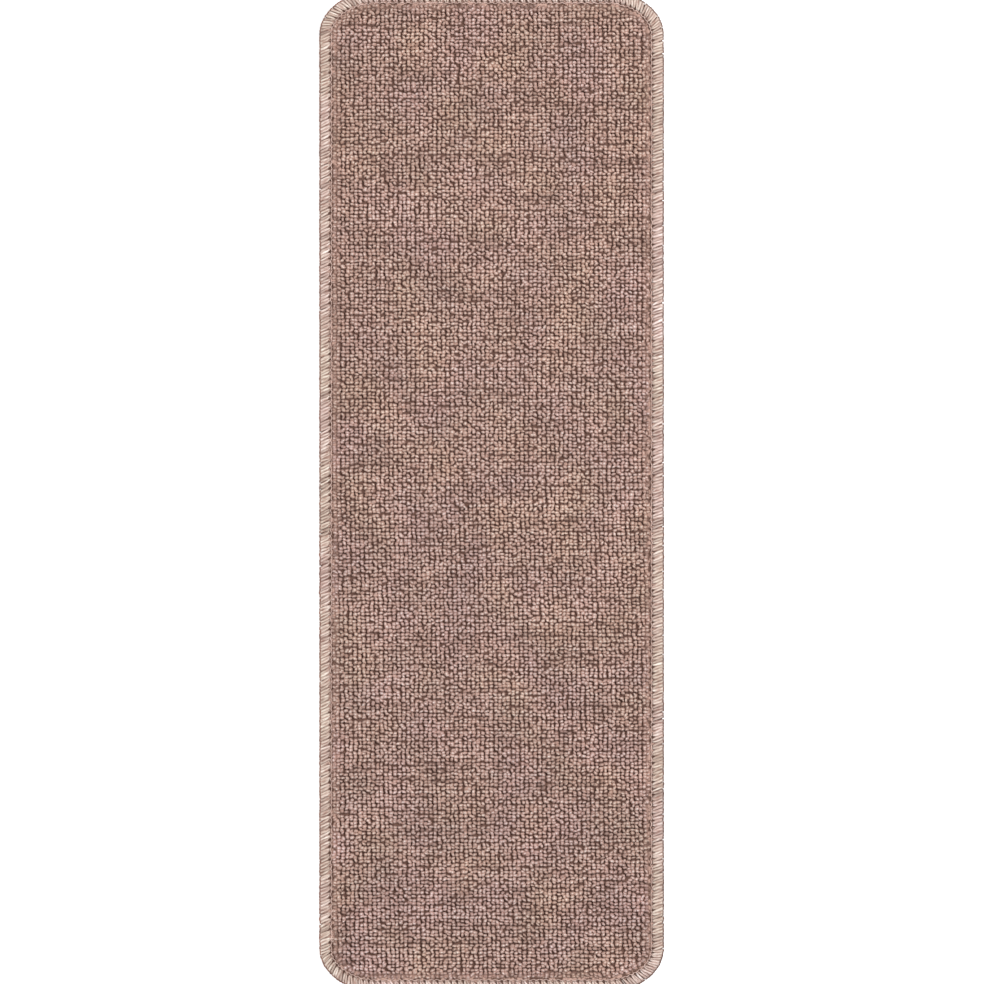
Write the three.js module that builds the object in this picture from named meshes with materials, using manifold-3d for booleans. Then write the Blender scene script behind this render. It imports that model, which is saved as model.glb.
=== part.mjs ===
// Anti-slip stair tread mat: a loop pile carpet on a rubber backing, with a yarn overlocked round its edge.
// Millimetres. The mat lies flat, its length along Y and its width along X, with the pile facing up (+Z).
// The origin is on the underside, in the middle of the mat.
import * as THREE from "three";
import { mergeGeometries, mergeVertices } from "three/addons/utils/BufferGeometryUtils.js";
import Module from "manifold-3d";

// The whole mat, measured over the edge yarn
const MAT_LENGTH = 650;
const MAT_WIDTH = 224;
const CORNER_LENGTH = 28.5; // each corner is a quarter of an ellipse: this much along the length of the mat
const CORNER_WIDTH = 38; // and this much across its width

// Layers, from the floor up
const BACKING_THICKNESS = 1.2;
const CARPET_THICKNESS = 4.4; // ground fabric and standing loops
const CRUSHED_THICKNESS = 1.2; // the same carpet where the stitches press it flat

// Loops of the pile stand in columns along the length of the mat
const COLUMN_PITCH = 2.83;
const COLUMN_RELIEF = 1.1; // from the crown of a column down to the valley beside it

// Edge yarn, wrapped over the top, round the side and under the mat
const YARN_THICKNESS = 1;
const STITCH_PITCH = 4.15; // along the edge
const STITCH_WIDTH = 7.4; // from the outside of the mat in to the needle line
const STITCH_RELIEF = 0.45; // how much lower the yarn lies between two stitches
const STITCH_LEAN = 2.4; // how far a stitch runs ahead on its way out to the side
const SHOULDER = 1.3; // from the needle line to where the yarn is at its full height
const SIDE_ROUNDING = 1.9; // from the outside in to where the yarn lies level

// Needle thread, which lies along the inner ends of the stitches
const THREAD_DIAMETER = 0.9;

const CLEARANCE = 0.3; // between a yarn and what it lies against
const PILE_EDGE_SLOPE = 0.5; // how much the outermost loops lean in from foot to crown
const RAMP_WIDTH = 5; // over which the backing comes down from the edge to the floor
const CORNER_STEPS = 10; // facets of a plain edge at one corner
const COLUMN_STEPS = 5; // facets across one column of loops
const THREAD_STEPS = 8; // facets round the needle thread

const QUARTER_TURN = Math.PI / 2;

// Heights of the edge, where the backing and the crushed carpet lie inside the yarn
const MAT_HEIGHT = BACKING_THICKNESS + CARPET_THICKNESS;
const EDGE_BOTTOM = YARN_THICKNESS + CLEARANCE;
const EDGE_MIDDLE = EDGE_BOTTOM + BACKING_THICKNESS;
const EDGE_TOP = EDGE_MIDDLE + CRUSHED_THICKNESS;
const SEAT_TOP = EDGE_TOP + CLEARANCE;
const YARN_TOP = SEAT_TOP + YARN_THICKNESS;

// Distances in from the outside of the mat
const EDGE_INSET = YARN_THICKNESS + CLEARANCE;
const THREAD_INSET = STITCH_WIDTH + CLEARANCE + THREAD_DIAMETER / 2;
const PILE_INSET = THREAD_INSET + THREAD_DIAMETER / 2 + CLEARANCE;
const FLOOR_INSET = PILE_INSET + RAMP_WIDTH;

const wasm = await Module();
wasm.setup();

// The outline seen from above, anticlockwise from the corner at +X +Y
const outline = new THREE.Path();
[
  [1, 1],
  [-1, 1],
  [-1, -1],
  [1, -1],
].forEach(([x, y], corner) => {
  const centreX = x * (MAT_WIDTH / 2 - CORNER_WIDTH);
  const centreY = y * (MAT_LENGTH / 2 - CORNER_LENGTH);
  const start = corner * QUARTER_TURN;
  outline.absellipse(centreX, centreY, CORNER_WIDTH, CORNER_LENGTH, start, start + QUARTER_TURN, false, 0);
});
outline.closePath();
const outlineLength = outline.getLength();

// A station is a place on the outline, with the direction that leads straight out of the mat there.
function stationOn(curve, share) {
  const along = curve.getTangent(share);
  return { place: curve.getPoint(share), outwards: new THREE.Vector2(along.y, -along.x) };
}

function stationAt(distance) {
  return stationOn(outline, THREE.MathUtils.euclideanModulo(distance, outlineLength) / outlineLength);
}

function pointAt({ place, outwards }, inset, height) {
  return new THREE.Vector3(place.x - inset * outwards.x, place.y - inset * outwards.y, height);
}

// Enough stations for a plain edge: the facets of the corners, which the straight sides join
const plainStations = outline.curves
  .filter((curve) => curve instanceof THREE.EllipseCurve)
  .flatMap((curve) => Array.from({ length: CORNER_STEPS + 1 }, (_, i) => stationOn(curve, i / CORNER_STEPS)));

const plainRing = ([inset, height]) => plainStations.map((station) => pointAt(station, inset, height));

function geometryOf(triangles) {
  const points = triangles.flat();
  return new THREE.BufferGeometry().setFromPoints(points);
}

// The surface between neighbouring rings. It faces out when the rings are listed from the underside round the
// outside to the top. Each quad is split along its shorter diagonal, so that solids with the same rings meet
// face to face.
function surfaceThrough(rings) {
  const triangles = [];
  for (let level = 0; level + 1 < rings.length; level++) {
    const [lower, upper] = [rings[level], rings[level + 1]];
    for (let i = 0; i < lower.length; i++) {
      const next = (i + 1) % lower.length;
      if (lower[i].distanceTo(upper[next]) < lower[next].distanceTo(upper[i])) {
        triangles.push([lower[i], lower[next], upper[next]], [lower[i], upper[next], upper[i]]);
      } else {
        triangles.push([lower[i], lower[next], upper[i]], [lower[next], upper[next], upper[i]]);
      }
    }
  }
  return geometryOf(triangles);
}

// The level face inside a ring
function levelFace(ring, facesUp) {
  const faces = THREE.ShapeUtils.triangulateShape(
    ring.map(({ x, y }) => new THREE.Vector2(x, y)),
    [],
  );
  return geometryOf(faces.map(([a, b, c]) => (facesUp ? [a, b, c] : [a, c, b]).map((i) => ring[i])));
}

// The level face between two rings. Each triangle takes a step along one of them, whichever leaves the shorter
// edge between the two.
function levelBand(inner, outer, facesUp) {
  const triangles = [];
  let [i, j] = [0, 0];
  while (i < inner.length || j < outer.length) {
    const [from, to] = [inner[i % inner.length], outer[j % outer.length]];
    const [nextFrom, nextTo] = [inner[(i + 1) % inner.length], outer[(j + 1) % outer.length]];
    const inwards = j === outer.length || (i < inner.length && nextFrom.distanceTo(to) < from.distanceTo(nextTo));
    const next = inwards ? nextFrom : nextTo;
    triangles.push(facesUp ? [from, to, next] : [from, next, to]);
    if (inwards) i++;
    else j++;
  }
  return geometryOf(triangles);
}

// A slab whose outside follows the profile, a list of [inset, height] from the underside out and up to the top
function slab(profile) {
  const rings = profile.map(plainRing);
  return mergeGeometries([
    levelFace(rings[0], false),
    surfaceThrough(rings),
    levelFace(rings[rings.length - 1], true),
  ]);
}

function manifoldOf(geometry) {
  const bare = geometry.clone();
  bare.deleteAttribute("normal");
  bare.deleteAttribute("uv");
  const merged = mergeVertices(bare, 1e-4);
  return new wasm.Manifold(
    new wasm.Mesh({
      numProp: 3,
      vertProperties: merged.attributes.position.array,
      triVerts: new Uint32Array(merged.index.array),
    }),
  );
}

function geometryOfManifold(solid) {
  const { vertProperties, triVerts } = solid.getMesh();
  return new THREE.BufferGeometry()
    .setAttribute("position", new THREE.BufferAttribute(vertProperties, 3))
    .setIndex(new THREE.BufferAttribute(triVerts, 1))
    .toNonIndexed();
}

function piece(name, geometry, material) {
  const faceted = geometry.index ? geometry.toNonIndexed() : geometry;
  faceted.computeVertexNormals();
  const mesh = new THREE.Mesh(faceted, new THREE.MeshStandardMaterial(material));
  mesh.name = name;
  return mesh;
}

// Rubber sheet that grips the tread. Its rim rides up over the yarn that passes under it.
function backing() {
  return slab([
    [FLOOR_INSET, 0],
    [PILE_INSET, EDGE_BOTTOM],
    [EDGE_INSET + SIDE_ROUNDING, EDGE_BOTTOM],
    [EDGE_INSET, EDGE_MIDDLE],
    [PILE_INSET, EDGE_MIDDLE],
    [FLOOR_INSET, BACKING_THICKNESS],
  ]);
}

// The carpet as it would be with a level top: it lies on the backing and is crushed at the rim.
function carpetBody() {
  return slab([
    [FLOOR_INSET, BACKING_THICKNESS],
    [PILE_INSET, EDGE_MIDDLE],
    [EDGE_INSET, EDGE_MIDDLE],
    [EDGE_INSET + SIDE_ROUNDING, EDGE_TOP],
    [PILE_INSET, EDGE_TOP],
    [PILE_INSET + PILE_EDGE_SLOPE, MAT_HEIGHT],
  ]);
}

// Everything under the rounded columns of loops, which run the whole length of the mat
function columnsOfLoops() {
  const count = 2 * Math.ceil(MAT_WIDTH / COLUMN_PITCH / 2) + 1;
  const radius = ((COLUMN_PITCH / 2) ** 2 + COLUMN_RELIEF ** 2) / (2 * COLUMN_RELIEF);
  const rise = MAT_HEIGHT - radius;
  const valley = MAT_HEIGHT - COLUMN_RELIEF;
  const start = Math.asin((valley - rise) / radius);
  const right = (count * COLUMN_PITCH) / 2;
  const outline = new THREE.Shape().moveTo(-right, 0).lineTo(right, 0).lineTo(right, valley);
  for (let i = 0; i < count; i++) {
    const middle = right - (i + 0.5) * COLUMN_PITCH;
    outline.absarc(middle, rise, radius, start, Math.PI - start, false);
  }
  const geometry = new THREE.ExtrudeGeometry(outline, {
    depth: MAT_LENGTH,
    bevelEnabled: false,
    curveSegments: COLUMN_STEPS,
  });
  return geometry.rotateX(QUARTER_TURN).translate(0, MAT_LENGTH / 2, 0);
}

const carpet = () => geometryOfManifold(manifoldOf(carpetBody()).intersect(manifoldOf(columnsOfLoops())));

// The overlocked yarn: leaning stitches side by side, each a crest with a valley on either side. A stitch leaves
// the needle line on top, wraps the edge and comes back to the next needle hole underneath.
function edgeYarn() {
  const stitches = Math.round(outlineLength / STITCH_PITCH);
  const pitch = outlineLength / stitches;
  // Each point across a stitch: its inset, its height, and how far ahead of the needle hole it lies.
  const crest = [
    [STITCH_WIDTH, YARN_THICKNESS, pitch],
    [SIDE_ROUNDING, 0, STITCH_LEAN],
    [0, YARN_TOP / 2, STITCH_LEAN],
    [SIDE_ROUNDING, YARN_TOP, STITCH_LEAN * (1 - SIDE_ROUNDING / STITCH_WIDTH)],
    [STITCH_WIDTH - SHOULDER, YARN_TOP, (STITCH_LEAN * SHOULDER) / STITCH_WIDTH],
    [STITCH_WIDTH, SEAT_TOP, 0],
  ];
  const sunk = [
    [0, 0],
    [0, STITCH_RELIEF],
    [STITCH_RELIEF, 0],
    [0, -STITCH_RELIEF],
    [0, -STITCH_RELIEF],
    [0, 0],
  ];
  const outside = crest.map(([inset, height, ahead], i) =>
    Array.from({ length: 2 * stitches }, (_, half) => {
      const [inwards, upwards] = half % 2 ? sunk[i] : [0, 0];
      return pointAt(stationAt((half * pitch) / 2 + ahead), inset + inwards, height + upwards);
    }),
  );
  const seat = [
    [YARN_THICKNESS + SIDE_ROUNDING, SEAT_TOP],
    [YARN_THICKNESS, YARN_TOP / 2],
    [YARN_THICKNESS + SIDE_ROUNDING, YARN_THICKNESS],
  ].map(plainRing);
  return mergeGeometries([
    surfaceThrough(outside),
    surfaceThrough(seat),
    levelBand(outside[outside.length - 1], seat[0], false),
    levelBand(outside[0], seat[seat.length - 1], true),
  ]);
}

// A plain round thread laid over the crushed carpet, between the stitches and the standing loops
function needleThread() {
  const radius = THREAD_DIAMETER / 2;
  const rings = Array.from({ length: THREAD_STEPS + 1 }, (_, i) => {
    const angle = ((i % THREAD_STEPS) / THREAD_STEPS) * 4 * QUARTER_TURN;
    const height = EDGE_TOP + CLEARANCE + radius - radius * Math.cos(angle);
    return plainRing([THREAD_INSET - radius * Math.sin(angle), height]);
  });
  return surfaceThrough(rings);
}

const rubber = { color: 0x4a4542, roughness: 0.85, metalness: 0 };
const loopYarn = { color: 0x9b7f74, roughness: 0.95, metalness: 0 };
const coverYarn = { color: 0xc4aa9c, roughness: 0.75, metalness: 0 };

const mat = new THREE.Group();
mat.name = "stair_tread_mat";
mat.add(
  piece("anti_slip_backing", backing(), rubber),
  piece("loop_pile_carpet", carpet(), loopYarn),
  piece("overlock_yarn", edgeYarn(), coverYarn),
  piece("needle_thread", needleThread(), coverYarn),
);

export default mat;
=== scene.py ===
"""A stair tread mat: loop pile carpet with an overlocked edge, lying flat and seen from straight above."""
import math

import bpy
import numpy as np
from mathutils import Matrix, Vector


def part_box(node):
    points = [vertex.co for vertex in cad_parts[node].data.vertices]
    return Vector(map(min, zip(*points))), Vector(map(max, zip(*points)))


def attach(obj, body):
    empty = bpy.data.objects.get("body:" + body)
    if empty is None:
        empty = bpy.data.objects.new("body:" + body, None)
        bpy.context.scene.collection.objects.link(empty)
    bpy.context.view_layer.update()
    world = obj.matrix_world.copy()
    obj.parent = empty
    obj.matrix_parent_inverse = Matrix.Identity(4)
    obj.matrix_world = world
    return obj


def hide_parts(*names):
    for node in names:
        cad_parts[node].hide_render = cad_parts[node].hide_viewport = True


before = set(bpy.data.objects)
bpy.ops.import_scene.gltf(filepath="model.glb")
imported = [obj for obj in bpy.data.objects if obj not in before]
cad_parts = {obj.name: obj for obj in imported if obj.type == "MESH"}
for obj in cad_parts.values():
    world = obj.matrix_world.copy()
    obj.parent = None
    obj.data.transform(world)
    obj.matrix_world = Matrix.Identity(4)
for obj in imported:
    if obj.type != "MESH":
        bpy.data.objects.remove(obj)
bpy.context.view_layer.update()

MM = 0.001
UP = np.array([0, 0, 1.0])
rng = np.random.default_rng(31)

# Sizes that the solids give
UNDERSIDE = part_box("anti_slip_backing")[0][2]
carpet_low, carpet_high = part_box("loop_pile_carpet")
edge_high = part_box("overlock_yarn")[1]
thread_low, thread_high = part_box("needle_thread")
HALF_WIDTH = edge_high[0]
HALF_LENGTH = edge_high[1]
EDGE_HEIGHT = edge_high[2]
PILE_TOP = carpet_high[2]
BACKING_TOP = carpet_low[2]
EDGE_INSET = HALF_WIDTH - carpet_high[0]
THREAD_TOP = thread_high[2]
THREAD_DIAMETER = THREAD_TOP - thread_low[2]
THREAD_INSET = HALF_WIDTH - thread_high[0] + THREAD_DIAMETER / 2

# Sizes that repeat the solids' own
CORNER_LENGTH = 28.5 * MM
CORNER_WIDTH = 38 * MM
COLUMN_PITCH = 2.83 * MM
STITCH_PITCH = 4.15 * MM
STITCH_WIDTH = 7.4 * MM
YARN_THICKNESS = 1 * MM
EDGE_MIDDLE = 2.5 * MM  # height at which the carpet and the backing meet at the rim
EDGE_TOP = 3.7 * MM  # height of the crushed carpet at the rim
SIDE_ROUNDING = 1.9 * MM
RAMP_WIDTH = 5 * MM
CLEARANCE = 0.3 * MM
PILE_INSET = THREAD_INSET + THREAD_DIAMETER / 2 + CLEARANCE

# Places of the loops
ROW_PITCH = 2.265 * MM
PILE_FOOT = 2.5 * MM
COLUMN_OFFSET = -0.18 * MM  # how far the middle column stands to the right of the middle of the mat
STRAY = 4.8 * MM  # how far the columns stray to the right from the middle of the mat to its -Y end
STRAY_SPREAD = 0.2  # how much farther the rightmost column strays, and how much less the leftmost
STRAY_BOW = 0.8 * MM  # how far the columns bow to the right on the way
BOW_END = 0.6  # where that bow ends, as a share of the way
ROW_WANDER = 0.15 * MM  # how far a row wanders off its line
ROW_WANDER_STEP = 8  # loops from one random place of that line to the next
ROW_SCATTER = 0.35 * MM  # how far a loop stands off its row
COLUMN_WANDER = 0.17 * MM
COLUMN_WANDER_STEP = 5
COLUMN_SCATTER = 0.32 * MM
OUTERMOST_LOOP = 9.7 * MM  # from the outside in to the middle of the outermost loops, at the left
OUTERMOST_EXTRA = 1.3 * MM  # how much farther in the outermost loops stand at the right
OUTERMOST_SCATTER = 0.4 * MM

# Shapes of the loops
LOOP_PIECES = 4
LOOP_SIDES = 6
LOOP_LEVELS = np.array([0.0, 0.45, 0.8])  # height of each ring of a loop, as a share of the loop's height
LOOP_REACH = np.array([1.0, 0.86, 0.38])  # reach of each ring, as a share of the foot's
LOOP_HALF_WIDTH = 1.8 * MM
LOOP_HALF_LENGTH = 1.24 * MM
LOOP_WIDTH_SCATTER = 0.11
LOOP_LENGTH_SCATTER = 0.14
LOOP_HEIGHT_SCATTER = 0.09
LOWEST_LOOP = 0.7  # as a share of the highest
LOOP_SPIN = 0.6  # how far a loop is turned about its own axis, in radians
LOOP_LEAN = 0.2 * MM

# Tones of the loops' yarn
PILE_TONES = 2.8  # tone of the lightest yarn, where the darkest has as much below zero
LOOP_TONE = 0.4  # from loop to loop
STREAK_TONE = 0.5  # of the streaks across the mat, short and long
SHORT_STREAK = 3.5  # length in loops, as for the next two
LONG_STREAK = 14
COLUMN_TONE = 0.12  # of the streaks along the columns
COLUMN_STREAK = 40
ROW_TONE = 0.22  # from row to row
RIM_DARKENING = 0.9  # of the outermost loops, which fades on the way in
RIM_FADE = 3 * MM
FIBRE_TONE = 0.5  # from place to place on a loop
CROWN_TONE = 1.5  # from one loop's crown to another's

# Strands of the edge yarn
STRAND_SIDES = 6
STITCH_LEAN = 2.5 * MM  # how far a stitch runs ahead on its way out to the side
HOLE_SCATTER = 0.1 * MM
LEAN_CHANGE = 0.12  # how much less the stitches lean at the right, and how much more at the left
LEAN_SCATTER = 0.08
SLACK = 0.1 * MM  # how far a strand wanders along the edge on its way out
TIGHTENING = 0.05  # how much closer the strands of a pair lie at the right, and farther apart at the left
SINKING = 0.2 * MM  # how far a strand lies sunk on top
LOW_SINKING = 0.3  # share of that by which it lies sunk underneath
SIDE_SCATTER = 0.08 * MM  # how far a strand stands off its place on the side
REACH_CHANGE = 0.35 * MM  # how much farther in the stitches reach at the right, and less far at the left
REACH_CUT = 0.15 * MM  # how much less far in all of them reach
REACH_SCATTER = 0.12 * MM
PLUMPNESS = 0.08  # how much the strands differ in thickness
STRAND_TONE = 0.8  # from strand to strand
RING_TONE = 0.35  # from place to place on a strand
STRAND_TONES = 2.4  # tone of the lightest yarn, where the darkest has as much below zero
UV_RUN = 40  # most by which the fibres of two strands are shifted against each other, along and across
UV_ACROSS = 9

# Links of the needle thread
LINK_SIDES = 6
LINK_SHARES = np.array([0.0, 0.2, 0.4, 0.6, 0.8, 1.0])  # where its rings lie on the way to the next hole
LINK_WIDTHS = np.array([0.6, 0.75, 0.85, 0.85, 0.75, 0.6])  # as shares of the solid's diameter
LINK_SAGS = np.array([0.3, 0.15, 0.1, 0.1, 0.15, 0.3]) * MM
LINK_WAVE = 0.35 * MM  # how far the thread winds in at each needle hole, and out between two
LINK_SCATTER = 0.12 * MM
LINK_CHANGE = 0.2 * MM  # how much farther in the thread runs at the right, and less far at the left
LINK_TONE = 0.6
THREAD_TONES = 2.0  # tone of the lightest thread, where the darkest has as much below zero


# Outline of the mat: straight sides and four quarters of an ellipse, anticlockwise from +X +Y

CORNER_SAMPLES = 200
CORNER_X = HALF_WIDTH - CORNER_WIDTH
CORNER_Y = HALF_LENGTH - CORNER_LENGTH


def outline_table():
    """Points on the outline, the direction straight out of the mat at each, and the distance walked to it."""
    quarter = np.linspace(0, 1, CORNER_SAMPLES)
    turn = np.concatenate([(corner + quarter) * math.pi / 2 for corner in range(4)])
    middle_x = np.repeat([CORNER_X, -CORNER_X, -CORNER_X, CORNER_X], CORNER_SAMPLES)
    middle_y = np.repeat([CORNER_Y, CORNER_Y, -CORNER_Y, -CORNER_Y], CORNER_SAMPLES)
    cosine = np.cos(turn)
    sine = np.sin(turn)
    points = np.stack([middle_x + CORNER_WIDTH * cosine, middle_y + CORNER_LENGTH * sine], axis=-1)
    outwards = np.stack([CORNER_LENGTH * cosine, CORNER_WIDTH * sine], axis=-1)
    outwards /= np.linalg.norm(outwards, axis=-1, keepdims=True)
    points = np.vstack([points, points[:1]])
    outwards = np.vstack([outwards, outwards[:1]])
    steps = np.linalg.norm(np.diff(points, axis=0), axis=-1)
    return points, outwards, np.concatenate([[0], np.cumsum(steps)])


places, facing, walked = outline_table()
outline_length = walked[-1]


def looked_up(table, distance):
    """What a table of the outline says at a distance along it."""
    left = np.mod(distance, outline_length)
    return np.stack([np.interp(left, walked, column) for column in table.T], axis=-1)


def on_edge(distance, inset, height):
    """Points at a distance along the outline, an inset from it and a height, with the directions out of the
    mat and along its outline."""
    distance, inset, height = np.broadcast_arrays(distance, inset, height)
    outward = looked_up(facing, distance)
    outward /= np.linalg.norm(outward, axis=-1, keepdims=True)
    level = looked_up(places, distance) - inset[..., None] * outward
    points = np.concatenate([level, height[..., None]], axis=-1)
    nothing = np.zeros(distance.shape)
    along = np.stack([-outward[..., 1], outward[..., 0], nothing], axis=-1)
    return points, np.concatenate([outward, nothing[..., None]], axis=-1), along


def squeeze(distance, inset):
    """How much shorter the outline is at an inset than outside, which is less than 1 in a corner."""
    step = 1 * MM
    bend = np.linalg.norm(looked_up(facing, distance + step) - looked_up(facing, distance - step), axis=-1)
    return 1 - inset * bend / (2 * step)


def inset_of(x, y):
    """How far points in the mat lie from its outline."""
    inset = np.minimum(HALF_WIDTH - np.abs(x), HALF_LENGTH - np.abs(y))
    cornered = (np.abs(x) > CORNER_X) & (np.abs(y) > CORNER_Y)
    points = np.stack([np.abs(x[cornered]), np.abs(y[cornered])], axis=-1)
    arc = places[:CORNER_SAMPLES]
    inset[cornered] = np.linalg.norm(points[:, None, :] - arc[None, :, :], axis=-1).min(axis=1)
    return inset


def inwards(x, y):
    """The direction in which points in the mat lie farther from its outline."""
    step = 0.1 * MM
    inwards_x = (inset_of(x + step, y) - inset_of(x - step, y)) / (2 * step)
    inwards_y = (inset_of(x, y + step) - inset_of(x, y - step)) / (2 * step)
    return inwards_x, inwards_y


# Meshes

def face_table(faces):
    """Where each face starts among the corners of all faces, and the point at each corner."""
    starts, corners, offset = [], [], 0
    for array in faces:
        count, sides = array.shape
        starts.append(offset + sides * np.arange(count))
        corners.append(array.ravel())
        offset += count * sides
    return np.concatenate(starts).astype(np.int32), np.concatenate(corners).astype(np.int32)


def new_piece(name, points, faces, attributes=None, uv=None, smooth=True):
    """faces is a list of integer arrays, each with one face to a row."""
    starts, corners = face_table(faces)
    mesh = bpy.data.meshes.new(name)
    mesh.vertices.add(len(points))
    mesh.vertices.foreach_set("co", np.asarray(points, np.float32).ravel())
    mesh.loops.add(len(corners))
    mesh.loops.foreach_set("vertex_index", corners)
    mesh.polygons.add(len(starts))
    mesh.polygons.foreach_set("loop_start", starts)
    mesh.polygons.foreach_set("use_smooth", np.full(len(starts), smooth))
    for key, values in (attributes or {}).items():
        mesh.attributes.new(key, "FLOAT", "POINT").data.foreach_set("value", values.astype(np.float32))
    if uv is not None:
        layer = mesh.uv_layers.new(name="yarn")
        layer.data.foreach_set("uv", uv[corners].astype(np.float32).ravel())
    mesh.update(calc_edges=True)
    mesh.validate()
    piece = bpy.data.objects.new(name, mesh)
    bpy.context.scene.collection.objects.link(piece)
    return piece


def tube_faces(tubes, rings, sides):
    """Faces of closed tubes whose points are numbered tube by tube, ring by ring."""
    first = (np.arange(tubes) * rings * sides)[:, None, None]
    ring = (np.arange(rings - 1) * sides)[None, :, None]
    side = np.arange(sides)[None, None, :]
    following = (side + 1) % sides
    near = first + ring
    far = near + sides
    walls = np.stack([near + side, near + following, far + following, far + side], axis=-1).reshape(-1, 4)
    start_caps = (first[:, 0] + np.arange(sides)[::-1]).reshape(-1, sides)
    end_caps = (first[:, 0] + (rings - 1) * sides + np.arange(sides)).reshape(-1, sides)
    return [walls, start_caps, end_caps]


def angles(sides, turned=0.0):
    """Directions of a ring's points from its middle, with the ring turned by a share of a side."""
    return (np.arange(sides) + turned) / sides * 2 * math.pi


# Randomness

def scatter(size, *shape):
    """Unrelated random values, about as large as the size."""
    return size * rng.normal(size=shape)


def drift(shape, period, axis):
    """Random values about 1 in size that drift along one axis of a grid and are unrelated across it."""
    lines = shape[1 - axis]
    count = shape[axis]
    knots = rng.normal(size=(int(count / period) + 3, lines))
    place = np.arange(count) / period
    low = place.astype(int)
    share = (place - low)[:, None]
    values = knots[low] * (1 - share) + knots[low + 1] * share
    return values if axis == 0 else values.T


# Ground fabric, which carries the loops and is crushed flat under the edge yarn

FABRIC_STEP = 15  # samples of a corner from one point of the fabric to the next


def ground_fabric():
    floor_inset = PILE_INSET + RAMP_WIDTH
    profile = np.array(
        [
            (floor_inset, BACKING_TOP),
            (PILE_INSET, EDGE_MIDDLE),
            (EDGE_INSET, EDGE_MIDDLE),
            (EDGE_INSET + 0.7 * MM, EDGE_TOP - 0.5 * MM),
            (EDGE_INSET + SIDE_ROUNDING, EDGE_TOP),
            (PILE_INSET + 0.6 * MM, EDGE_TOP),
            (floor_inset, PILE_FOOT + 0.1 * MM),
        ]
    )
    around = walked[:-1].reshape(4, CORNER_SAMPLES)[:, ::FABRIC_STEP].ravel()
    points = on_edge(around[None, :], profile[:, :1], profile[:, 1:])[0]
    rings, count = points.shape[:2]
    return new_piece("ground_fabric", points.reshape(-1, 3), tube_faces(1, rings, count))


# Loops: each is a bead of yarn that stands on the ground fabric and touches its neighbours

def loop_grid():
    """Column and row of every place for a loop, numbered from the middle of the mat."""
    columns = math.ceil((HALF_WIDTH - OUTERMOST_LOOP + STRAY) / COLUMN_PITCH)
    rows = math.ceil((HALF_LENGTH - OUTERMOST_LOOP) / ROW_PITCH)
    return np.meshgrid(np.arange(-columns, columns + 1), np.arange(-rows, rows + 1))


def loop_spots(column, row):
    """Where the loops would stand if the mat had no edge."""
    shape = column.shape
    y = row * ROW_PITCH + ROW_WANDER * drift(shape, ROW_WANDER_STEP, 1) + scatter(ROW_SCATTER, *shape)
    towards_end = np.clip(-y / HALF_LENGTH, 0, 1)
    stray = STRAY * towards_end * (1 + STRAY_SPREAD * column / column.max())
    stray += STRAY_BOW * np.sin(np.clip(towards_end / BOW_END, 0, 1) * math.pi)
    x = COLUMN_OFFSET + column * COLUMN_PITCH + stray
    x += COLUMN_WANDER * drift(shape, COLUMN_WANDER_STEP, 0) + scatter(COLUMN_SCATTER, *shape)
    return x, y


def loop_tones(shape):
    """Tones that differ from loop to loop, in streaks across the mat and along it, and from row to row."""
    tone = scatter(LOOP_TONE, *shape)
    tone += STREAK_TONE * drift(shape, SHORT_STREAK, 1)
    tone += STREAK_TONE * drift(shape, LONG_STREAK, 1)
    tone += COLUMN_TONE * drift(shape, COLUMN_STREAK, 0) + ROW_TONE * drift((shape[0], 1), 1, 0)
    return tone


def loop_places():
    """Place and tone of each loop. Those a little past the rim are pushed in to it, and the rest left out."""
    column, row = loop_grid()
    x, y = loop_spots(column, row)
    tone = loop_tones(column.shape)
    inset = inset_of(x, y)
    outermost = OUTERMOST_LOOP + OUTERMOST_EXTRA * (1 + x / HALF_WIDTH) / 2
    outermost += scatter(OUTERMOST_SCATTER, *column.shape)
    tone -= RIM_DARKENING * np.exp(np.clip((outermost - inset) / RIM_FADE, None, 0))
    kept = inset > outermost - COLUMN_PITCH / 2
    push = np.clip(outermost - inset, 0, None)[kept]
    x, y = x[kept], y[kept]
    inwards_x, inwards_y = inwards(x, y)
    return x + push * inwards_x, y + push * inwards_y, tone[kept]


def loop_points(x, y):
    """The points of each loop: ring by ring from its foot up, with its top last."""
    count = len(x)
    half_width = LOOP_HALF_WIDTH * np.exp(scatter(LOOP_WIDTH_SCATTER, count))
    half_length = LOOP_HALF_LENGTH * np.exp(scatter(LOOP_LENGTH_SCATTER, count))
    lowering = 1 - np.abs(scatter(LOOP_HEIGHT_SCATTER, count))
    height = (PILE_TOP - PILE_FOOT) * np.clip(lowering, LOWEST_LOOP, 1)
    spin = scatter(LOOP_SPIN, count)[:, None, None]
    lean_x, lean_y = scatter(LOOP_LEAN, count, 2).T
    angle = (angles(LOOP_SIDES) + rng.random(count)[:, None])[:, None, :]

    reach = LOOP_REACH[None, :, None]
    level = LOOP_LEVELS[None, :, None]
    wide = reach * half_width[:, None, None] * np.cos(angle)
    long = reach * half_length[:, None, None] * np.sin(angle)
    ring_x = x[:, None, None] + (wide * np.cos(spin) - long * np.sin(spin)) + level * lean_x[:, None, None]
    ring_y = y[:, None, None] + (wide * np.sin(spin) + long * np.cos(spin)) + level * lean_y[:, None, None]
    ring_z = PILE_FOOT + level * height[:, None, None]
    rings = np.stack(np.broadcast_arrays(ring_x, ring_y, ring_z), axis=-1)
    tops = np.stack([x + lean_x, y + lean_y, PILE_FOOT + height], axis=-1)[:, None, :]
    return np.concatenate([rings.reshape(count, -1, 3), tops], axis=1)


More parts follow.
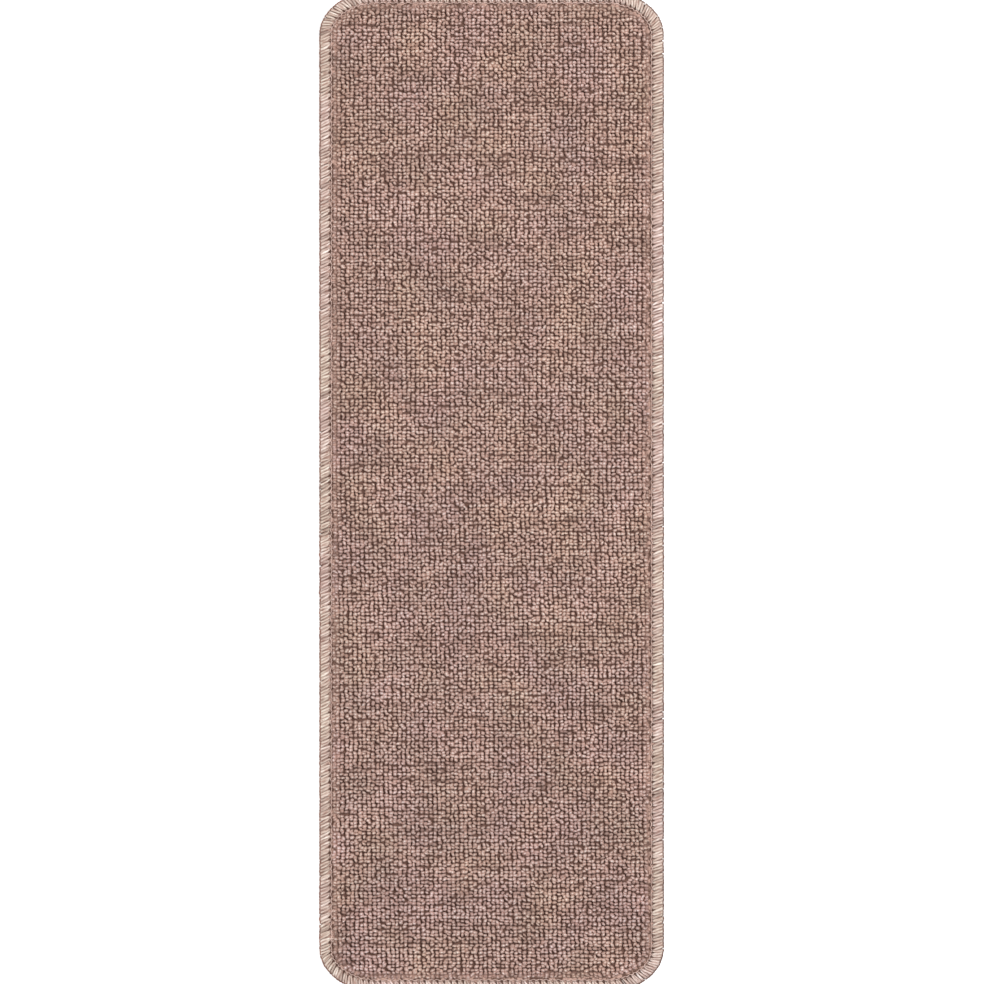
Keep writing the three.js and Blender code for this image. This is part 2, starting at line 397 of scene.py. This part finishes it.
def loop_faces():
    """The faces of one loop: its walls, its crown and its sole."""
    rings = len(LOOP_LEVELS)
    side = np.arange(LOOP_SIDES)
    following = (side + 1) % LOOP_SIDES
    band = np.stack([side, following, following + LOOP_SIDES, side + LOOP_SIDES], axis=-1)
    walls = np.concatenate([band + ring * LOOP_SIDES for ring in range(rings - 1)])
    last = (rings - 1) * LOOP_SIDES
    top = np.full(LOOP_SIDES, rings * LOOP_SIDES)
    crown = np.stack([side + last, following + last, top], axis=-1)
    return walls, crown, side[::-1][None, :]


def pile_loops():
    x, y, tone = loop_places()
    points = loop_points(x, y)
    per_loop = points.shape[1]
    pieces = []
    for number, chosen in enumerate(np.array_split(np.argsort(y, kind="stable"), LOOP_PIECES)):
        count = len(chosen)
        first = (np.arange(count) * per_loop)[:, None, None]
        faces = [(first + part[None]).reshape(-1, part.shape[1]) for part in loop_faces()]
        shade = tone[chosen][:, None] + scatter(FIBRE_TONE, count, per_loop)
        shade[:, -1] += scatter(CROWN_TONE, count)
        name = f"pile_loops_{number + 1}"
        pieces.append(new_piece(name, points[chosen].reshape(-1, 3), faces, {"yarn_tone": shade.ravel()}))
    return pieces


# Edge yarn: each stitch is two strands, apart at the needle hole, that wrap over, round and under the edge

def strand_path():
    """For each ring of a strand: inset, height, share of the lean, gap between the pair, half width and share
    of the yarn's thickness."""
    top = EDGE_HEIGHT - YARN_THICKNESS / 2
    low = YARN_THICKNESS / 2
    return np.array(
        [
            (STITCH_WIDTH + 0.75 * MM, EDGE_TOP - 0.5 * MM, 0.00, 2.8 * MM, 0.6 * MM, 0.6),
            (STITCH_WIDTH + 0.25 * MM, EDGE_TOP + 0.35 * MM, 0.00, 3.05 * MM, 0.78 * MM, 0.85),
            (STITCH_WIDTH - 0.5 * MM, top - 0.15 * MM, 0.08, 2.8 * MM, 0.9 * MM, 1.0),
            (STITCH_WIDTH - 1.5 * MM, top, 0.24, 2.3 * MM, 1.1 * MM, 1.05),
            (4.1 * MM, top, 0.52, 2.1 * MM, 1.17 * MM, 1.05),
            (2.1 * MM, top - 0.05 * MM, 0.83, 2.0 * MM, 1.18 * MM, 1.05),
            (1.05 * MM, top - 0.25 * MM, 0.99, 2.05 * MM, 1.26 * MM, 1.0),
            (0.62 * MM, top - 0.8 * MM, 1.00, 2.05 * MM, 1.32 * MM, 1.0),
            (0.56 * MM, EDGE_HEIGHT / 2, 1.00, 2.05 * MM, 1.32 * MM, 1.0),
            (0.95 * MM, low + 0.9 * MM, 1.02, 1.8 * MM, 1.14 * MM, 1.0),
            (2.1 * MM, low + 0.12 * MM, 1.06, 1.9 * MM, 1.2 * MM, 1.0),
            (3.9 * MM, low, 1.15, 2.1 * MM, 1.2 * MM, 1.0),
            (STITCH_WIDTH - 0.7 * MM, low, 1.30, 2.3 * MM, 1.1 * MM, 1.0),
            (STITCH_WIDTH + 0.7 * MM, low + 0.25 * MM, 1.40, 2.5 * MM, 0.8 * MM, 0.8),
        ]
    )


def needle_holes():
    """Distances along the outline of the needle holes, one to a stitch."""
    stitches = round(outline_length / STITCH_PITCH)
    pitch = outline_length / stitches
    return np.arange(stitches) * pitch + scatter(HOLE_SCATTER, stitches)


def strand_courses(holes, inset, height, lean, gap):
    """Distance along the outline, inset and height of every ring of every strand. The stitches lean less and
    reach farther in at the right of the mat than at the left."""
    stitches = len(holes)
    strands = 2 * stitches
    hole = np.repeat(holes, 2)[:, None]
    side = np.tile([-0.5, 0.5], stitches)[:, None]
    rightness = looked_up(facing, hole)[..., 0]
    slope = 1 - LEAN_CHANGE * rightness + np.repeat(scatter(LEAN_SCATTER, stitches), 2)[:, None]
    slack = scatter(SLACK, strands, 1) * np.clip(lean, 0, 1)
    distance = hole + side * gap * (1 - TIGHTENING * rightness) + lean * STITCH_LEAN * slope + slack
    sunk = np.abs(scatter(SINKING, strands, 1))
    heights = height + np.where(height > EDGE_HEIGHT / 2, -sunk, LOW_SINKING * sunk)
    insets = inset + np.where(inset < 2 * MM, scatter(SIDE_SCATTER, strands, 1), 0)
    reach = REACH_CHANGE * rightness - REACH_CUT + scatter(REACH_SCATTER, strands, 1)
    insets += np.where(inset > STITCH_WIDTH - 1 * MM, reach, 0)
    return distance, insets, heights


def standing_proud(inset, height, outward):
    """The direction perpendicular to a strand's path, in the plane across the edge, out of the mat."""
    step_inset = np.gradient(inset)
    step_height = np.gradient(height)
    size = np.hypot(step_inset, step_height)
    return (step_height / size)[:, None] * outward - (step_inset / size)[:, None] * UP


def strand_yarn(inset, height, angle, shape):
    """The yarn's tone, how far each point of it faces out, and a UV map in millimetres along the strands and
    in half widths across them."""
    strands, rings, _ = shape
    steps = np.hypot(np.diff(inset), np.diff(height))
    length = np.concatenate([[0], np.cumsum(steps)]) / MM
    run = length[:, None] + UV_RUN * rng.random((strands, 1, 1))
    across = np.cos(angle) + UV_ACROSS * rng.random((strands, 1, 1))
    uv = np.stack(np.broadcast_arrays(run, across), axis=-1)
    tone = scatter(STRAND_TONE, strands, 1, 1) + scatter(RING_TONE, strands, rings, 1)
    # yarn_face is what the edge yarn's material darkens as painted shade, where a strand faces away from the
    # outside
    values = {"yarn_tone": tone, "yarn_face": np.sin(angle)}
    return {name: np.broadcast_to(value, shape).ravel() for name, value in values.items()}, uv.reshape(-1, 2)


def edge_strands(holes):
    inset, height, lean, gap, width, thickness = strand_path().T
    distance, insets, heights = strand_courses(holes, inset, height, lean, gap)
    points, outward, along = on_edge(distance, insets, heights)
    proud = standing_proud(inset, height, outward)
    plump = np.exp(scatter(PLUMPNESS, len(distance), 1))
    half_width = (width * plump * squeeze(distance, insets))[..., None]
    half_thickness = (thickness * plump)[..., None] * YARN_THICKNESS / 2

    angle = angles(STRAND_SIDES, 0.5)
    sideways = (half_width * along)[:, :, None, :] * np.cos(angle)[:, None]
    upwards = (half_thickness * proud)[:, :, None, :] * np.sin(angle)[:, None]
    ring = points[:, :, None, :] + sideways + upwards
    shape = ring.shape[:3]
    attributes, uv = strand_yarn(inset, height, angle, shape)
    return new_piece("edge_strands", ring.reshape(-1, 3), tube_faces(*shape), attributes, uv)


# Needle thread: it winds along the mat, nearer to the pile at each needle hole than between two holes

def thread_links(holes):
    following = np.append(holes[1:], holes[0] + outline_length)
    distance = holes[:, None] + (following - holes)[:, None] * LINK_SHARES
    wave = LINK_WAVE * np.cos(2 * math.pi * LINK_SHARES) + scatter(LINK_SCATTER, len(holes), 1)
    inset = THREAD_INSET + LINK_CHANGE * looked_up(facing, distance)[..., 0] + wave
    points, outward, _ = on_edge(distance, inset, THREAD_TOP - THREAD_DIAMETER / 2 - LINK_SAGS)
    radius = LINK_WIDTHS[:, None, None] * THREAD_DIAMETER / 2
    angle = angles(LINK_SIDES)[:, None]
    ring = points[:, :, None, :] + radius * outward[:, :, None, :] * np.sin(angle)
    ring += radius * UP * np.cos(angle)
    tone = np.repeat(scatter(LINK_TONE, len(holes)), len(LINK_SHARES) * LINK_SIDES)
    faces = tube_faces(*ring.shape[:3])
    return new_piece("needle_links", ring.reshape(-1, 3), faces, {"yarn_tone": tone})


# Materials

WHITE = (1.0, 1.0, 1.0, 1.0)
MIX_INPUTS = (0, 6, 7)  # the Mix node's sockets for its factor and its two colours
MIX_OUTPUT = 2

# Patterns in the materials, in repeats to a metre
PILE_HUES = 28.0
PILE_WEAR = 34.0
HEATHER = 700.0
PILE_FIBRES = 2600.0
WEAVE = 420.0
EDGE_HUES = 22.0
THREAD_TWIST = 900.0
RUBBER_GRAIN = 350.0
RUBBER_CELLS = 520.0


def grey(value):
    return value, value, value, 1.0


def srgb(red, green, blue):
    """A display colour, 0 to 255, as the linear colour that a shader takes."""
    def linear(value):
        value /= 255
        return value / 12.92 if value <= 0.04045 else ((value + 0.055) / 1.055) ** 2.4
    return linear(red), linear(green), linear(blue), 1.0


def deepened(share):
    """What pinkish beige yarn is multiplied by where it is darker, as painted shade deep in the pile and in
    the creases of the edge strands, or between its own fibres and plies: it turns redder as it turns darker.
    """
    depth = 1 - share
    return share, share ** (1.24 + 0.77 * depth), share ** (0.79 + 2.08 * depth), 1.0


class Nodes:
    """A node tree whose nodes are added one by one, with their inputs named or in order."""

    def __init__(self, tree):
        self.tree = tree

    def feed(self, socket, value):
        if isinstance(value, bpy.types.NodeSocket):
            self.tree.links.new(value, socket)
        else:
            socket.default_value = value

    def add(self, kind, settings=None, **inputs):
        node = self.tree.nodes.new(kind)
        for key, value in (settings or {}).items():
            setattr(node, key, value)
        for key, value in inputs.items():
            self.feed(node.inputs[key.replace("_", " ")], value)
        return node

    def maths(self, operation, *values):
        node = self.add("ShaderNodeMath", {"operation": operation})
        for socket, value in zip(node.inputs, values):
            self.feed(socket, value)
        return node.outputs[0]

    def within(self, value, low, high):
        """A value as a share of the way from low to high."""
        return self.add("ShaderNodeMapRange", Value=value, From_Min=low, From_Max=high).outputs[0]

    def ramp(self, factor, stops):
        node = self.add("ShaderNodeValToRGB", Fac=factor)
        elements = node.color_ramp.elements
        while len(elements) < len(stops):
            elements.new(0.5)
        for element, (place, colour) in zip(elements, stops):
            element.position = place
            element.color = colour
        return node.outputs[0]

    def tinted(self, colour, value, stops, factor=1.0):
        """A colour multiplied by what a ramp says at a value."""
        node = self.add("ShaderNodeMix", {"data_type": "RGBA", "blend_type": "MULTIPLY"})
        for place, given in zip(MIX_INPUTS, (factor, colour, self.ramp(value, stops))):
            self.feed(node.inputs[place], given)
        return node.outputs[MIX_OUTPUT]

    def place(self):
        return self.add("ShaderNodeTexCoord").outputs["Object"]

    def along(self, axis):
        return self.add("ShaderNodeSeparateXYZ", Vector=self.place()).outputs[axis]

    def noise(self, vector, scale, detail=2.0):
        return self.add("ShaderNodeTexNoise", Vector=vector, Scale=scale, Detail=detail).outputs["Fac"]

    def attribute(self, name):
        return self.add("ShaderNodeAttribute", {"attribute_name": name}).outputs["Fac"]

    def tone(self, most):
        """The tone of the yarn, as a share of the way from its darkest to its lightest."""
        return self.within(self.attribute("yarn_tone"), -most, most)

    def seen(self):
        """1 for rays of the camera, of reflections and through glass, to which the background is white."""
        rays = self.add("ShaderNodeLightPath").outputs
        shiny = self.maths("MAXIMUM", rays["Is Glossy Ray"], rays["Is Transmission Ray"])
        return self.maths("MAXIMUM", rays["Is Camera Ray"], shiny)


class Finish(Nodes):
    """A new material on one Principled shader."""

    def __init__(self, name, roughness):
        self.material = bpy.data.materials.new(name)
        self.material.use_nodes = True
        super().__init__(self.material.node_tree)
        self.shader = self.tree.nodes["Principled BSDF"]
        self.shader.inputs["Roughness"].default_value = roughness

    def bump(self, height, distance, strength=1.0):
        node = self.add("ShaderNodeBump", Height=height, Distance=distance, Strength=strength)
        self.feed(self.shader.inputs["Normal"], node.outputs[0])

    def made(self, **inputs):
        for key, value in inputs.items():
            self.feed(self.shader.inputs[key.replace("_", " ")], value)
        return self.material


# Colours of the loops, from the darkest yarn to the lightest, and the painted shade that multiplies them from
# foot to crown, darker and redder towards the foot
PILE_COLOURS = [
    (0.0, srgb(178, 156, 145)),
    (0.35, srgb(236, 218, 208)),
    (0.65, srgb(255, 244, 236)),
    (1.0, srgb(255, 249, 243)),
]
PILE_DEPTH_SHADE = [
    (0.0, deepened(0.26)),
    (0.35, deepened(0.54)),
    (0.6, deepened(0.58)),
    (0.84, deepened(0.72)),
    (1.0, WHITE),
]


def pile_material():
    """Beige yarn that varies from loop to loop, with painted shade that makes it browner in the hollows, and
    a little warmer towards +Y.
    """
    n = Finish("loop_yarn", 0.9)
    colour = n.ramp(n.tone(PILE_TONES), PILE_COLOURS)
    hue = n.noise(n.place(), PILE_HUES, 4.0)
    colour = n.tinted(colour, hue, [(0.35, (1, 0.985, 1, 1)), (0.65, (0.985, 0.985, 0.89, 1))])
    warmth = n.within(n.along("Y"), -HALF_LENGTH, HALF_LENGTH)
    colour = n.tinted(colour, warmth, [(0.2, WHITE), (1.0, (1, 0.985, 0.955, 1))])
    wear = n.noise(n.place(), PILE_WEAR, 4.0)
    colour = n.tinted(colour, wear, [(0.3, grey(0.8)), (0.68, WHITE)])
    # Painted shade: each loop darker and redder from its crown down to its foot and into the hollows
    colour = n.tinted(colour, n.within(n.along("Z"), PILE_FOOT, PILE_TOP), PILE_DEPTH_SHADE)
    heather = n.noise(n.place(), HEATHER)
    colour = n.tinted(colour, heather, [(0.34, grey(0.83)), (0.62, WHITE)], 0.95)
    fibres = n.noise(n.place(), PILE_FIBRES, 3.0)
    colour = n.tinted(colour, fibres, [(0.3, grey(0.94)), (0.65, WHITE)], 0.7)
    n.bump(fibres, 0.15 * MM)
    return n.made(Base_Color=colour, Sheen_Weight=0.12, Sheen_Roughness=0.6)


def ground_material():
    """Brown between the loops, lighter and mottled where it comes up at the rim, with painted shade that
    darkens it the deeper it lies.
    """
    n = Finish("ground_weave", 0.95)
    # Partly painted shade: the fabric's own brown, darkened the deeper it lies, down the slope from the rim
    # and in the pits between the loops
    height = n.within(n.along("Z"), PILE_FOOT, EDGE_TOP)
    colour = n.ramp(height, [(0.0, srgb(94, 64, 53)), (1.0, srgb(184, 151, 138))])
    weave = n.noise(n.place(), WEAVE)
    colour = n.tinted(colour, weave, [(0.45, (0.2, 0.15, 0.125, 1)), (0.6, WHITE)], height)
    n.bump(weave, 0.2 * MM)
    return n.made(Base_Color=colour)


def strand_material():
    """Glossier yarn with fibres along it, with painted shade in the creases between strands and underneath
    them, and painted shade that makes it greyer low on the side at the right of the mat.
    """
    n = Finish("edge_yarn", 0.62)
    yarns = [(0.0, srgb(172, 155, 147)), (0.5, srgb(220, 206, 197)), (1.0, srgb(253, 248, 243))]
    colour = n.ramp(n.tone(STRAND_TONES), yarns)
    hue = n.noise(n.place(), EDGE_HUES)
    colour = n.tinted(colour, hue, [(0.38, (1, 0.96, 0.97, 1)), (0.62, (0.98, 1, 0.94, 1))])
    # Painted shade: the yarn darker and redder wherever it faces less than straight out, in the creases
    # between strands and underneath
    colour = n.tinted(colour, n.attribute("yarn_face"), [(0.1, deepened(0.4)), (1.0, WHITE)])
    # Painted shade: greyer and darker low on the side of the strands, more so towards the right of the mat
    height = n.within(n.along("Z"), EDGE_TOP, EDGE_HEIGHT - 0.3 * MM)
    rightness = n.within(n.along("X"), -HALF_WIDTH, HALF_WIDTH)
    colour = n.tinted(colour, height, [(0.0, (0.55, 0.6, 0.64, 1)), (1.0, WHITE)], rightness)
    yarn = n.add("ShaderNodeMapping", Vector=n.add("ShaderNodeUVMap", {"uv_map": "yarn"}).outputs[0])
    yarn.inputs["Scale"].default_value = (0.22, 1.6, 1.0)
    yarn.inputs["Rotation"].default_value = (0, 0, 0.08)
    fibres = n.noise(yarn.outputs[0], 1.0, 4.0)
    colour = n.tinted(colour, fibres, [(0.34, deepened(0.52)), (0.62, WHITE)], 0.95)
    n.bump(fibres, 0.2 * MM)
    return n.made(Base_Color=colour, Sheen_Weight=0.2, Sheen_Roughness=0.4)


def thread_material():
    n = Finish("needle_thread_yarn", 0.6)
    colour = n.ramp(n.tone(THREAD_TONES), [(0.0, srgb(163, 135, 124)), (1.0, srgb(229, 199, 187))])
    settings = {"wave_type": "BANDS", "bands_direction": "DIAGONAL"}
    twist = n.add("ShaderNodeTexWave", settings, Vector=n.place(), Scale=THREAD_TWIST).outputs["Fac"]
    colour = n.tinted(colour, twist, [(0.2, deepened(0.72)), (0.6, WHITE)], 0.5)
    n.bump(twist, 0.08 * MM)
    return n.made(Base_Color=colour, Sheen_Weight=0.2)


def rubber_material():
    n = Finish("backing_rubber", 0.7)
    grain = n.noise(n.place(), RUBBER_GRAIN, 4.0)
    cells = n.add("ShaderNodeTexVoronoi", Vector=n.place(), Scale=RUBBER_CELLS).outputs["Distance"]
    colour = n.ramp(grain, [(0.35, srgb(62, 57, 53)), (0.65, srgb(82, 76, 71))])
    n.bump(n.maths("MULTIPLY_ADD", grain, 0.5, cells), 0.3 * MM, 0.6)
    return n.made(Base_Color=colour)


# Making the pieces

ground = ground_fabric()
loops = pile_loops()
holes = needle_holes()
strands = edge_strands(holes)
links = thread_links(holes)

for pieces, node, slot, material in (
    ([ground], "loop_pile_carpet", "pile", ground_material()),
    (loops, "loop_pile_carpet", "pile", pile_material()),
    ([strands], "overlock_yarn", "edge_yarn", strand_material()),
    ([links], "needle_thread", "edge_yarn", thread_material()),
):
    for piece in pieces:
        piece.data.materials.append(material)
        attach(piece, "root")
        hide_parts(node)

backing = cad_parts["anti_slip_backing"]
backing.material_slots[0].material = rubber_material()


# Floor, light and camera

FLOOR_DROP = 0.15 * MM  # room below the mat for the plumpest strands
FLOOR_REACH = 8.0
SHADOW_REACH = 0.5  # how far from the middle of the mat the floor keeps its whole shadow
NEAR_GLOW = 0.55  # share of white that the floor shows there of itself
WORLD_LIGHT = 0.35
FRAME_WIDTH = 637.9 * MM  # what the photograph takes in at the height of the pile
OFF_CENTRE = (0.24 * MM, -0.32 * MM)  # where the middle of the photograph falls on the mat
LENS = 180.0
SENSOR = 36.0
FARTHEST_SEEN = 50.0


def floor_material():
    """Matt white that keeps a shadow near the mat but reads as white in the picture and in reflections."""
    n = Finish("white_floor", 0.9)
    reach = n.add("ShaderNodeVectorMath", {"operation": "LENGTH"}, Vector=n.place()).outputs["Value"]
    far_off = n.within(reach, SHADOW_REACH, 3 * SHADOW_REACH)
    glow = n.maths("MULTIPLY", n.seen(), n.maths("MULTIPLY_ADD", far_off, 1 - NEAR_GLOW, NEAR_GLOW))
    return n.made(Base_Color=grey(0.8), Emission_Color=WHITE, Emission_Strength=glow)


def floor():
    corners = ((-1, -1), (1, -1), (1, 1), (-1, 1))
    points = [(x * FLOOR_REACH, y * FLOOR_REACH, UNDERSIDE - FLOOR_DROP) for x, y in corners]
    piece = new_piece("floor", points, [np.arange(4)[None, :]], smooth=False)
    piece.data.materials.append(floor_material())


def studio():
    world = bpy.data.worlds.new("studio")
    world.use_nodes = True
    n = Nodes(world.node_tree)
    background = n.tree.nodes["Background"].inputs
    background["Color"].default_value = WHITE
    n.feed(background["Strength"], n.maths("MULTIPLY_ADD", n.seen(), 1 - WORLD_LIGHT, WORLD_LIGHT))
    bpy.context.scene.world = world


def lamp(name, size, power, place):
    """A square lamp that faces the middle of the mat."""
    data = bpy.data.lights.new(name, "AREA")
    data.size = size
    data.energy = power
    made = bpy.data.objects.new(name, data)
    made.location = place
    made.rotation_mode = "QUATERNION"
    made.rotation_quaternion = made.location.to_track_quat("Z", "Y")
    bpy.context.scene.collection.objects.link(made)


def camera():
    """A camera straight above the mat, far enough off to take in the width of the frame."""
    data = bpy.data.cameras.new("camera")
    data.lens = LENS
    data.sensor_width = SENSOR
    data.clip_end = FARTHEST_SEEN
    made = bpy.data.objects.new("camera", data)
    made.location = (*OFF_CENTRE, PILE_TOP + FRAME_WIDTH * LENS / SENSOR)
    bpy.context.scene.collection.objects.link(made)
    bpy.context.scene.camera = made


floor()
studio()
lamp("key", size=0.9, power=52.0, place=(1.25, 0.7, 1.75))
lamp("fill", size=1.2, power=24.0, place=(-1.6, -0.5, 1.1))
camera()
bpy.context.scene.view_settings.view_transform = "Standard"
